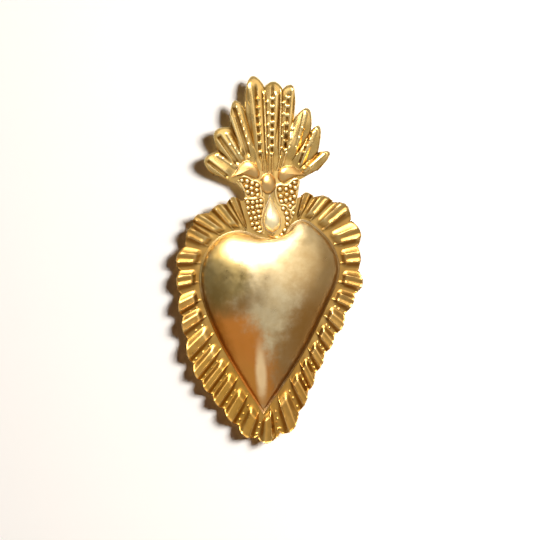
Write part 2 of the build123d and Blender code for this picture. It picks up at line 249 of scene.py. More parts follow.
def join(sheets: list[Piece]) -> Piece:
    """Give sheets their thickness and join them into the first of them."""
    for sheet in sheets:
        thicken(sheet)
    select_only(sheets[0])
    for sheet in sheets[1:]:
        sheet.select_set(True)
    bpy.ops.object.join()
    return sheets[0]


def cavity(heights: Array, passes: int, reach: float) -> Array:
    """Tell hollows from crests by comparing a sheet with its own blurred self.

    Args:
        heights: How far the sheet stands forward at each grid point.
        passes: How often it is blurred.
        reach: The height difference that counts as fully hollow.

    Returns:
        Values from -1 on a crest to 1 in a hollow.
    """
    blurred = heights.copy()
    for _ in range(passes):
        wide = np.pad(blurred, 1, mode="edge")
        sides = wide[1:-1, :-2] + wide[1:-1, 2:]
        blurred = (wide[:-2, 1:-1] + wide[2:, 1:-1] + sides) / 4
    return np.clip((blurred - heights) / reach, -1.0, 1.0)


@dataclass(frozen=True)
class HeartLine:
    """The heart's outline: two curved flanks between its tip and its cleft."""

    width: float = 75.0
    height: float = 103.0
    crown_share: Place = (-0.01, 0.08)
    tip_share: Place = (-0.045, -0.585)
    cleft_share: Place = (0.055, 0.306)
    left_shares: Places = (
        (-0.25, -0.349), (-0.436, -0.079), (-0.496, 0.132), (-0.43, 0.272), (-0.29, 0.348),
        (-0.218, 0.356), (-0.036, 0.317),
    )
    right_shares: Places = (
        (0.106, 0.328), (0.169, 0.389), (0.231, 0.415), (0.332, 0.379), (0.433, 0.302),
        (0.496, 0.18), (0.43, 0.015), (0.272, -0.228),
    )
    flank_steps: int = 140

    def crown(self) -> Array:
        """Give the place of the heart's highest point."""
        return scaled(self.crown_share, self.width, self.height)

    def flanks(self) -> list[Array]:
        """Give the places along the left flank, upwards, and the right one, downwards."""
        left = (self.tip_share, *self.left_shares, self.cleft_share)
        right = (self.cleft_share, *self.right_shares, self.tip_share)
        steps = np.linspace(0.0, 1.0, self.flank_steps + 1)
        sides = [scaled(shares, self.width, self.height) for shares in (left, right)]
        return [smooth_line(side, steps) for side in sides]

    def outline(self, margin: float = 0.0) -> Array:
        """Walk round the heart from its tip, clockwise as seen.

        Args:
            margin: How far outside the heart to walk.

        Returns:
            The places of the walk, without its last one, which is its first.
        """
        left, right = self.flanks()
        ways = [np.gradient(side, axis=0) for side in (left, right)]
        outs = [np.stack([-way[:, 1], way[:, 0]], axis=1) for way in ways]
        outs = [out / np.linalg.norm(out, axis=1)[:, None] for out in outs]
        walk = np.concatenate([left[:-1], right[:-1]])
        away = np.concatenate([outs[0][:-1], outs[1][:-1]])
        cleft = len(left) - 1
        for index, one, two in ((0, outs[1][-1], outs[0][0]), (cleft, outs[0][-1], outs[1][0])):
            away[index] = (one + two) / (1.0 + one @ two)
        return walk + away * margin


def crossing(start: Array, goal: Array, walk: Array) -> Array:
    """Find where the line from start to goal first meets a closed walk."""
    ahead = goal - start
    side = np.roll(walk, -1, axis=0) - walk
    apart = walk - start
    slope = ahead[0] * side[:, 1] - ahead[1] * side[:, 0]
    slope = np.where(np.abs(slope) < TINY, TINY, slope)
    along = (apart[:, 0] * side[:, 1] - apart[:, 1] * side[:, 0]) / slope
    across = (apart[:, 0] * ahead[1] - apart[:, 1] * ahead[0]) / slope
    hits = along[(across >= 0) & (across <= 1) & (along > 0) & (along < 1)]
    return start + ahead * hits.min()


def fade_corners(walk: Array, blur: float) -> Array:
    """Round the corners of a closed walk by fading its fine waves."""
    waves = np.fft.fft(walk[:, 0] + 1j * walk[:, 1])
    count = np.fft.fftfreq(len(walk), 1.0 / len(walk))
    faded = np.fft.ifft(waves * np.exp(-((count * blur) ** 2) / 2))
    return np.stack([faded.real, faded.imag], axis=1)


@dataclass(frozen=True)
class Dome:
    """A smooth bulge over an outline, swelling to its crown."""

    crown: Array
    half: float
    base: float
    rise: float
    softness: float = 0.0
    steps: int = 14
    first_degrees: float = 4.0
    blur: float = 0.0

    def rings(self, outline: Array) -> Array:
        """Draw the bulge ring by ring, from its foot to its crown."""
        away = outline - self.crown
        circle = self.half * away / np.linalg.norm(away, axis=1)[:, None]
        rings = []
        for turn in np.linspace(math.radians(self.first_degrees), math.pi / 2, self.steps):
            share = self.softness * math.sin(turn) ** 2
            shape = fade_corners(mix(away, circle, share), self.blur * math.sin(turn))
            ring = self.crown + math.cos(turn) * shape
            rings.append(standing(ring, self.base - self.rise * math.sin(turn)))
        return np.array(rings)


def open_shares(steps: int, last: bool) -> Array:
    """Spread shares from 0 to 1, and leave out the 1 where another piece follows."""
    return np.linspace(0.0, 1.0, steps) if last else np.arange(steps) / steps


def close_rings(rings: Array) -> Array:
    """Repeat each ring's first point at its end."""
    return np.concatenate([rings, rings[:, :1]], axis=1)


def press_boss(name: str, foot: list[Array], bulge: Array, groove: tuple[float, ...]) -> Piece:
    """Press a hollow bulge with a fine rim round its foot.

    Args:
        name: The piece's name.
        foot: The rings of its rim, from the outside.
        bulge: The rings of its bulge.
        groove: How hollow or proud the outermost rings are.

    Returns:
        The pressed sheet.
    """
    rings = close_rings(np.concatenate([np.array(foot), bulge]))
    relief = np.zeros(rings.shape[:2])
    relief[: len(groove)] = np.array(groove)[:, None]
    piece = lay_sheet(name, rings, relief)
    thicken(piece, SHEET / 2)
    return piece


def srgb(code: str) -> tuple[float, float, float, float]:
    """Turn an sRGB hex colour into the linear colour that a shader takes."""
    values = [int(code[start : start + 2], 16) / 255 for start in (1, 3, 5)]
    linear = [v / 12.92 if v <= 0.04045 else ((v + 0.055) / 1.055) ** 2.4 for v in values]
    return (linear[0], linear[1], linear[2], 1.0)


def add_node(tree: Tree, kind: str, inputs: dict | None = None, **settings: object) -> Node:
    """Add a node with its settings, values and links.

    Args:
        tree: The node tree that gets it.
        kind: The node's type, without the first word that all share.
        inputs: Values or output sockets for its inputs, by name or number.
        **settings: The node's own settings.

    Returns:
        The new node.
    """
    node = tree.nodes.new(f"ShaderNode{kind}")
    for setting, value in settings.items():
        setattr(node, setting, value)
    for socket, value in (inputs or {}).items():
        if isinstance(value, Socket):
            tree.links.new(value, node.inputs[socket])
        else:
            node.inputs[socket].default_value = value
    return node


def spans(value: Socket, *ends: float) -> dict:
    """Name a value and the ends of the spans that it is mapped from and to."""
    return {"Value": value} | dict(zip(("From Min", "From Max", "To Min", "To Max"), ends))


def blank_material(name: str) -> tuple[Material, Tree]:
    """Make a material with an empty node tree."""
    material = bpy.data.materials.new(name)
    material.use_nodes = True
    material.node_tree.nodes.clear()
    return material, material.node_tree


class Temper(Enum):
    """How a piece of the brass was left by its maker."""

    BURNISHED = "burnished"
    PRESSED = "pressed"
    DULL = "dull"


@dataclass(frozen=True)
class GiltBrass:
    """Yellow brass sheet, pressed in a die and gilt, dark where no cloth reaches.

    The tone rubs off to cream on the crests and gathers as brown lacquer in the folds; the same
    brown also paints the shade that a piece notes with its hollows.
    """

    name: str
    tone: str
    crest: str
    fold: str
    temper: Temper
    roughness: float = 0.3
    cloud: float = 9.0
    grain: float = 0.7
    grain_depth: float = 0.012
    grain_strengths: Place = (0.3, 0.5)
    detail: float = 4.0
    coarseness: float = 0.6
    cloud_span: Place = (0.35, 0.7)
    fade: float = 0.45
    crest_span: Place = (0.0, -0.6)
    fold_span: Place = (0.05, 0.7)
    wear_share: float = 0.6
    wear_span: Place = (0.3, 0.7)
    wear_swing: Place = (0.8, 1.25)
    dull_span: Place = (0.1, 0.9)
    dull: float = 0.16

    def build(self) -> Material:
        """Make the material."""
        material, tree = blank_material(self.name)
        skin = add_node(tree, "TexCoord").outputs["Object"]
        inputs = {
            "Base Color": self.colour(tree, skin),
            "Metallic": 1.0,
            "Roughness": self.wear(tree, skin),
            "Normal": self.grain_normal(tree, skin),
        }
        shader = add_node(tree, "BsdfPrincipled", inputs)
        add_node(tree, "OutputMaterial", {"Surface": shader.outputs[0]})
        return material

    def relief(self, tree: Tree, span: Place) -> Socket:
        """Read the relief note, from 0 at the span's start to 1 at its end."""
        note = add_node(tree, "Attribute", attribute_name="relief").outputs["Fac"]
        level = add_node(tree, "MapRange", spans(note, *span), interpolation_type=SOFT)
        return level.outputs["Result"]

    def clouds(self, tree: Tree, skin: Socket, size: float) -> Socket:
        """Draw soft clouds of a size in millimetres."""
        inputs = {"Vector": skin, "Scale": 1.0 / (size * MM)}
        inputs |= {"Detail": self.detail, "Roughness": self.coarseness}
        return add_node(tree, "TexNoise", inputs).outputs["Fac"]

    def colour(self, tree: Tree, skin: Socket) -> Socket:
        """Mix the gilt's tone with its rubbed crests and brown folds."""
        inputs = spans(self.clouds(tree, skin, self.cloud), *self.cloud_span)
        cloud = add_node(tree, "MapRange", inputs).outputs["Result"]
        tone, crest, fold = (srgb(code) for code in (self.tone, self.crest, self.fold))
        faded = lay_tone(tree, cloud, tone, crest, self.fade)
        rubbed = lay_tone(tree, self.relief(tree, self.crest_span), faded, crest)
        return lay_tone(tree, self.relief(tree, self.fold_span), rubbed, fold)

    def wear(self, tree: Tree, skin: Socket) -> Socket:
        """Vary the roughness with handling, and dull the folds."""
        swing = (self.roughness * share for share in self.wear_swing)
        clouds = self.clouds(tree, skin, self.cloud * self.wear_share)
        inputs = spans(clouds, *self.wear_span, *swing)
        spread = add_node(tree, "MapRange", inputs).outputs["Result"]
        inputs = {0: self.relief(tree, self.dull_span), 1: self.dull, 2: spread}
        return add_node(tree, "Math", inputs, operation="MULTIPLY_ADD").outputs["Value"]

    def grain_normal(self, tree: Tree, skin: Socket) -> Socket:
        """Roughen the skin with the die's grain, drawn coarser than life to show."""
        inputs = {
            "Height": self.clouds(tree, skin, self.grain),
            "Strength": self.grain_strengths[self.temper is Temper.DULL],
            "Distance": self.grain_depth * MM,
        }
        return add_node(tree, "Bump", inputs).outputs["Normal"]


def lay_tone(
    tree: Tree, share: Socket, under: object, over: object, strength: float = 1.0
) -> Socket:
    """Lay one tone over another by a share that is first scaled by a strength."""
    if strength != 1.0:
        inputs = {0: share, 1: strength}
        share = add_node(tree, "Math", inputs, operation="MULTIPLY").outputs["Value"]
    return add_node(tree, "Mix", {0: share, 6: under, 7: over}, data_type="RGBA").outputs[2]


@dataclass(frozen=True)
class ReflectionAndTonePatch:
    """A patch of another tone with a ragged edge: painted reflection, highlight and shade on the
    heart, darker tone on the border.
    """

    centre_px: Place
    reach: Place
    tilt: float
    tone: str
    edge: float
    strength: float = 1.0


@dataclass(frozen=True)
class ReflectionPatchedBrass(GiltBrass):
    """Gilt brass with ragged patches over it: painted reflections, a painted highlight and painted
    shade on the heart, darker tone at the border's bottom and sides.
    """

    patches: tuple[ReflectionAndTonePatch, ...] = ()
    raggedness: float = 0.9
    brink: float = 1.45

    def colour(self, tree: Tree, skin: Socket) -> Socket:
        """Lay the patches over the gilt: painted reflections, highlight and shade, and darker tone.
        """
        colour = super().colour(tree, skin)
        for patch in self.patches:
            colour = lay_tone(tree, self.patch(tree, skin, patch), colour, srgb(patch.tone))
        return colour

    def patch(self, tree: Tree, skin: Socket, patch: ReflectionAndTonePatch) -> Socket:
        """Draw one patch as a ragged oval on a piece's front."""
        across, up = PHOTO.place(patch.centre_px) * MM
        wide, high = np.array(patch.reach) * MM
        inputs = {0: skin, 1: (across, 0.0, up)}
        moved = add_node(tree, "VectorMath", inputs, operation="SUBTRACT").outputs["Vector"]
        inputs = {"Vector": moved, "Angle": math.radians(patch.tilt)}
        turned = add_node(tree, "VectorRotate", inputs, rotation_type="Y_AXIS").outputs["Vector"]
        inputs = {0: turned, 1: (1 / wide, 0.0, 1 / high)}
        shrunk = add_node(tree, "VectorMath", inputs, operation="MULTIPLY").outputs["Vector"]
        reach = add_node(tree, "VectorMath", {0: shrunk}, operation="LENGTH").outputs["Value"]
        inputs = {0: self.clouds(tree, skin, self.cloud), 1: self.raggedness, 2: reach}
        ragged = add_node(tree, "Math", inputs, operation="MULTIPLY_ADD").outputs["Value"]
        inputs = spans(ragged, self.brink + patch.edge, self.brink - patch.edge, 0, patch.strength)
        return add_node(tree, "MapRange", inputs, interpolation_type=SOFT).outputs["Result"]


@dataclass(frozen=True)
class WorkshopFinishes:
    """Every brass that the ornament wears: its tone, its crests, its folds, its roughness."""

    heart: GiltBrass = ReflectionPatchedBrass(
        "burnished gilt brass", "#C0AA80", "#E2D4B0", "#8A6834", Temper.BURNISHED, 0.34,
        cloud=7.0,
        grain=0.5,
        patches=(
            # Painted reflections and shade: brown down the right flank, orange low on the left,
            # olive on the left lobe, pale gold at its top, duller champagne on the right lobe.
            ReflectionAndTonePatch((334, 292), (18, 44), -24, "#946C3A", 0.5, 0.75),
            ReflectionAndTonePatch((303, 342), (12, 40), -32, "#8A6028", 0.5, 0.8),
            ReflectionAndTonePatch((231, 350), (18, 32), 28, "#C87A28", 0.35, 0.92),
            ReflectionAndTonePatch((251, 388), (8, 17), 24, "#C4863C", 0.5, 0.8),
            ReflectionAndTonePatch((222, 279), (14, 17), 10, "#8C7846", 0.4, 0.85),
            # A painted highlight: a pale streak low on the heart.
            ReflectionAndTonePatch((261, 371), (2.7, 13), 3, "#FFE0AC", 0.5, 0.8),
            ReflectionAndTonePatch((213, 330), (6, 22), 22, "#8E5410", 0.6, 0.8),
            ReflectionAndTonePatch((221, 247), (12, 5), 28, "#D8B468", 0.5, 0.7),
            ReflectionAndTonePatch((212, 300), (7, 11), -18, "#6A5428", 0.6, 0.7),
            ReflectionAndTonePatch((241, 305), (11, 5), 24, "#84643A", 0.75, 0.65),
            ReflectionAndTonePatch((320, 256), (14, 20), -14, "#A88E60", 0.6, 0.55),
        ),
    )
    border: GiltBrass = ReflectionPatchedBrass(
        "pressed gilt brass border", "#B8924E", "#D8BC7E", "#6C4816", Temper.PRESSED, 0.32,
        patches=(
            # Darker patches at the bottom and at both sides of the glory.
            ReflectionAndTonePatch((300, 396), (46, 34), 0, "#A6762E", 0.6, 0.7),
            ReflectionAndTonePatch((222, 388), (20, 34), 30, "#AE8236", 0.6, 0.7),
            ReflectionAndTonePatch((182, 272), (13, 40), 0, "#A2783A", 0.6, 0.75),
            ReflectionAndTonePatch((354, 262), (16, 44), 0, "#A47C40", 0.6, 0.8),
        ),
    )
    flame: GiltBrass = GiltBrass(
        "pressed gilt brass flame", "#BE9A56", "#E2CA90", "#6E4C1C", Temper.PRESSED, 0.27
    )
    wing: GiltBrass = GiltBrass(
        "beaded gilt brass", "#CFAA62", "#EED8A0", "#8A6024", Temper.PRESSED, 0.34, grain=0.4
    )
    smooth: GiltBrass = GiltBrass(
        "burnished brass bosses", "#C49A5C", "#DEC08A", "#7C4E18", Temper.BURNISHED, 0.37
    )
    # The drop's pale tone and near-white crest are a painted highlight.
    drop: GiltBrass = GiltBrass(
        "brass drop painted pale as its highlight", "#F0DCA6", "#FFF8E6", "#8A6428", Temper.BURNISHED, 0.4
    )
    back: GiltBrass = GiltBrass(
        "bare brass back", "#B08E50", "#C6A668", "#5E4420", Temper.DULL, 0.46, cloud=14.0
    )
    wire: GiltBrass = GiltBrass(
        "drawn brass wire", "#A88A54", "#C2A56C", "#5C4626", Temper.DULL, 0.38, cloud=5.0
    )


def dress(piece: Piece, material: Material) -> None:
    """Give a piece one material all over."""
    if not piece.material_slots:
        piece.data.materials.append(material)
    for slot in piece.material_slots:
        slot.material = material


def mount(
    piece: Piece, material: Material, node: str, crease: float, body: str = "charm"
) -> None:
    """Shade and dress a finished piece and set it on its body in place of its solid.

    Args:
        piece: The finished piece.
        material: What it is made of.
        node: The plain solid that it stands for.
        crease: The turn from which an edge stays sharp, in degrees.
        body: The body that it moves with.
    """
    select_only(piece)
    bpy.ops.object.shade_smooth_by_angle(angle=math.radians(crease))
    dress(piece, material)
    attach(piece, body)
    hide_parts(node)
    log.info("%s: %d faces on %s", piece.name, len(piece.data.polygons), body)


@dataclass
class HeartDome:
    """The hollow heart, pressed with a fine double line round its foot."""

    line: HeartLine
    rise: float = 14.0
    softness: float = 0.8
    blur: float = 0.55
    steps: int = 46
    rim: Places = (
        (1.2, -0.3), (1.18, 0), (1, 0.12), (0.82, 0), (0.64, -0.04), (0.46, 0.14),
        (0.28, 0.12), (0.1, 0), (0, 0.05),
    )
    groove: tuple[float, ...] = (0.4, 0.0, -0.4, 0.4, 0.5, -0.4, -0.3, 0.55, 0.6, 0.35, 0.1)

    def build(self, finish: GiltBrass) -> None:
        """Press the heart and dress it."""
        middle, half = self.line.crown(), self.line.width / 2
        dome = Dome(
            middle, half, LAND_LEVEL, self.rise, self.softness, self.steps, blur=self.blur
        )
        foot = [standing(self.line.outline(out), FLANGE_LEVEL - lift) for out, lift in self.rim]
        bulge = dome.rings(self.line.outline())
        piece = press_boss("polished_heart", foot, bulge, self.groove)
        mount(piece, finish.build(), "heart_dome", DOME_CREASE)


@dataclass
class PleatedBorder:
    """The glory: a flat land round the heart, then pleats with struck bars and dots."""

    line: HeartLine
    width: float = 102.0
    height: float = 137.0
    land: float = 3.0
    rise: float = 2.6
    scallop: float = 2.0
    first_share: Place = (-0.158, 0.396)
    last_share: Place = (0.168, 0.410)
    aim_share: float = 0.185
    turn_share: float = -0.106
    sink_share: float = 1.742
    tongue_width: float = 21.0
    tongue_top: float = 14.0
    tongue_steps: int = 6
    tongue_shade: float = 0.2
    first_gap: float = 1.2
    last_gap: float = 4.0
    tip_shares: Places = (
        (-0.2, 0.41), (-0.281, 0.378), (-0.398, 0.334), (-0.441, 0.274), (-0.5, 0.167),
        (-0.5, 0.072), (-0.489, -0.032), (-0.468, -0.111), (-0.441, -0.219), (-0.398, -0.302),
        (-0.345, -0.358), (-0.286, -0.414), (-0.217, -0.477), (-0.131, -0.545), (-0.008, -0.571),
        (0.126, -0.517), (0.195, -0.406), (0.233, -0.338), (0.281, -0.258), (0.334, -0.183),
        (0.393, -0.107), (0.447, -0.016), (0.5, 0.064), (0.489, 0.171), (0.489, 0.27),
        (0.414, 0.378), (0.302, 0.414), (0.201, 0.429),
    )
    across_steps: int = 40
    along_steps: int = 30
    land_steps: int = 5
    cleft_steps: int = 41
    lap: float = 0.5
    roundness: float = 0.62
    shoulder_share: float = 0.68
    ledge_share: float = 0.26
    bar_half: float = 0.62
    bar_height: float = 0.5
    dot_radius: float = 0.85
    dot_height: float = 0.55
    rim_reach: float = 0.8
    rim_height: float = 0.3
    edge: float = 0.4
    low_pleats: range = range(6, 21)
    flat_start: Place = (0.0, 0.36)
    flat_end: Place = (0.64, 0.9)
    ramp: float = 0.28
    ramp_share: float = 0.7
    dips: Place = (0.55, 0.12)
    dip_share: float = 0.48
    dip_half: float = 0.12
    dip_start: Place = (0.05, 0.4)
    bar_start: Place = (0.01, 0.06)
    bar_stop: Place = (0.84, 0.9)
    bar_fade: float = 0.05
    bar_gap: Place = (0.48, 0.58)
    gap_half: float = 0.03
    gap_depth: float = 0.8
    core: float = 0.45
    ledges: Place = (0.5, 0.1)
    ledge_start: Place = (0.03, 0.08)
    ledge_stop: Place = (0.6, 0.75)
    ledge_fade: float = 0.2
    ledge_span: Place = (0.15, 0.6)
    valley_dots: tuple[tuple[range, float, Place], ...] = (
        (range(6, 22), 0.99, (0.22, 0.3)),
        (range(6, 22), 0.97, (0.5, 0.6)),
        (range(8, 20), 0.95, (0.78, 0.85)),
    )
    hollow: tuple[int, float] = (14, 0.5)
    seed: int = 11
    walk: Array = field(init=False)
    under: Array = field(init=False)

    def __post_init__(self) -> None:
        """Walk round the heart once, at the pleats' roots and under its flange."""
        self.walk = self.line.outline(self.land)
        self.under = self.line.outline(-self.lap)

    def tips(self) -> Array:
        """Give the scallops' tips, drawn in by what the sheet's thickness adds outside."""
        inset = 2 * self.edge
        return scaled(self.tip_shares, self.width - inset, self.height - inset)

    def aim(self, place: Array) -> Array:
        """Give the spot on the heart's axis that the pleat at a place points at."""
        low = max(0.0, self.turn_share - place[1] / self.line.height)
        return np.array([0.0, self.line.height * (self.aim_share - self.sink_share * low * low)])

    def valleys(self, tips: Array) -> Array:
        """Give the outer end of each valley between the pleats."""
        inner = []
        for middle in (tips[1:] + tips[:-1]) / 2:
            way = self.aim(middle) - middle
            inner.append(middle + way / np.linalg.norm(way) * self.scallop)
        ends = scaled((self.first_share, self.last_share), self.width, self.height)
        return np.array([ends[0], *inner, ends[1]])

    def below(self, across: float, walk: Array) -> Array:
        """Give the place on a walk straight below the top, a distance across from the axis."""
        return crossing(np.array([across, self.height / 2]), np.array([across, 0.0]), walk)

    def roots(self, valleys: Array) -> Array:
        """Give the inner end of each valley, on the land's edge."""
        inner = [crossing(valley, self.aim(valley), self.walk) for valley in valleys[1:-1]]
        first = self.below(-self.tongue_width / 2 - self.first_gap, self.walk)
        last = self.below(self.tongue_width / 2 + self.last_gap, self.walk)
        return np.array([first, *inner, last])

    def press(self, share: Array, along: Array, wide: Array, long: float, number: int) -> Array:
        """Give a pleat's relief.

        Args:
            share: Share across the pleat, towards its lower side.
            along: Share from root to rim.
            wide: The pleat's width at each row, in millimetres.
            long: The pleat's length in millimetres.
            number: The pleat's number, from the neck's left round to its right.

        Returns:
            How far each point stands forward of the land.
        """
        hand = random.Random(self.seed + number)
        spans = (self.bar_stop, self.bar_gap, self.ledge_stop)
        stop, gap, reach = (hand.uniform(*span) for span in spans)
        low = number in self.low_pleats
        plateau = ease(share, *self.flat_start) * fall(share, *self.flat_end)
        height = self.rise * plateau * mix(along, ease(along, 0.0, self.ramp), self.ramp_share)
        dip = self.dips[low] * swell(share, self.dip_share, self.dip_half)
        height -= dip * ease(along, *self.dip_start)
        gate = ease(along, *self.bar_start) * fall(along, stop, stop + self.bar_fade)
        gate *= 1.0 - self.gap_depth * swell(along, gap, self.gap_half)
        off = np.abs(share - self.shoulder_share) * wide
        height += self.bar_height * mound(off, self.bar_half, self.core) * gate
        gate = ease(along, *self.ledge_start) * fall(along, reach, reach + self.ledge_fade)
        off = np.abs(share - self.ledge_share) * wide
        height += self.bar_height * self.ledges[low] * fall(off, *self.ledge_span) * gate
        height += self.rim_height * fall((1.0 - along) * long, 0.0, self.rim_reach)
        spots = [(self.shoulder_share, 0.0)]
        for pleats, across, span in self.valley_dots:
            if number in pleats:
                spots.append((across, hand.uniform(*span)))
        for across, up in spots:
            away = np.hypot((share - across) * wide, (along - up) * long)
            height += self.dot_height * mound(away, self.dot_radius, STUD_CORE)
        return height

    def pleat(self, number: int, ends: Array, tip: Array, roots: Array) -> tuple[Array, Array]:
        """Draw one pleat and the land below it.

        Args:
            number: The pleat's number.
            ends: Its valleys' outer ends.
            tip: Its scallop's tip.
            roots: Its valleys' inner ends.

        Returns:
            Its flat places and its heights, rows by columns, without the last column.
        """
        share = open_shares(self.across_steps, number == len(self.tip_shares) - 1)
        column = share[:, None]
        bulge = (np.sin(math.pi * share) ** self.roundness)[:, None]
        rim = mix(ends[0], ends[1], column) + (tip - (ends[0] + ends[1]) / 2) * bulge
        root = mix(roots[0], roots[1], column)
        crown = self.line.crown()
        inner = np.array([crossing(spot, crown, self.under) for spot in root])
        steps = np.linspace(0.0, 1.0, self.land_steps)[:-1, None, None]
        along = np.linspace(0.0, 1.0, self.along_steps)
        flat = np.concatenate([mix(inner, root, steps), mix(root, rim, along[:, None, None])])
        lower = share if number <= len(self.tip_shares) // 2 else 1.0 - share
        wide = mix(np.linalg.norm(roots[1] - roots[0]), np.linalg.norm(ends[1] - ends[0]), along)
        long = float(np.linalg.norm(tip - (roots[0] + roots[1]) / 2))
        pressed = self.press(lower[None, :], along[:, None], wide[:, None], long, number)
        land = np.zeros((self.land_steps - 1, len(share)))
        return flat, np.concatenate([land, pressed])

    def strip(self) -> Piece:
        """Press all the pleats as one sheet."""
        tips = self.tips()
        valleys = self.valleys(tips)
        roots = self.roots(valleys)
        pleats = [
            self.pleat(number, valleys[number : number + 2], tip, roots[number : number + 2])
            for number, tip in enumerate(tips)
        ]
        flat, height = (np.concatenate(sides, axis=1) for sides in zip(*pleats))
        rows = standing(flat, LAND_LEVEL - height)
        return lay_sheet("pleated_glory", rows, cavity(height, *self.hollow))

    def tongue(self) -> Piece:
        """Press the flat neck tongue, which closes the land above the cleft."""
        valleys = self.valleys(self.tips())
        roots = self.roots(valleys)
        half = self.tongue_width / 2
        top = NECK_HEIGHT + self.tongue_top
        low = min(valleys[0][1], valleys[-1][1])
        crest = [(across, top) for across in np.linspace(-half, half, self.cleft_steps)]
        outer = [roots[0], valleys[0], (-half, low), *crest, (half, low), valleys[-1], roots[-1]]
        outer = np.array(outer)
        crown = self.line.crown()
        ends = [crossing(root, crown, self.under) for root in (roots[0], roots[-1])]
        cleft = [self.below(across, self.under) for across in outer[2:-2, 0]]
        inner = np.array([ends[0], ends[0], *cleft, ends[1], ends[1]])
        rows = mix(inner, outer, np.linspace(0.0, 1.0, self.tongue_steps)[:, None, None])
        relief = np.full(rows.shape[:2], self.tongue_shade)
        return lay_sheet("neck_tongue", standing(rows, LAND_LEVEL), relief)

    def build(self, finish: GiltBrass) -> None:
        """Press the glory and dress it."""
        piece = join([self.strip(), self.tongue()])
        mount(piece, finish.build(), "pleated_border", PLEAT_CREASE)


@dataclass(frozen=True)
class Flute:
    """A struck ridge or, with a negative height, a groove, between two photo places."""

    line_px: Line
    half: float
    height: float


def flute_table(rows: tuple[tuple[float, ...], ...]) -> tuple[Flute, ...]:
    """Read flutes from rows of their first place, last place, half width and height."""
    return tuple(Flute((row[:2], row[2:4]), *row[4:]) for row in rows)


@dataclass(frozen=True)
class StudRow:
    """Evenly struck studs between two photo places."""

    line_px: Line
    count: int
    radius: float
    height: float


def stud_table(rows: tuple[tuple[float, ...], ...]) -> tuple[StudRow, ...]:
    """Read rows of studs from their first place, last place, count, radius and height."""
    return tuple(StudRow((row[:2], row[2:4]), *row[4:]) for row in rows)


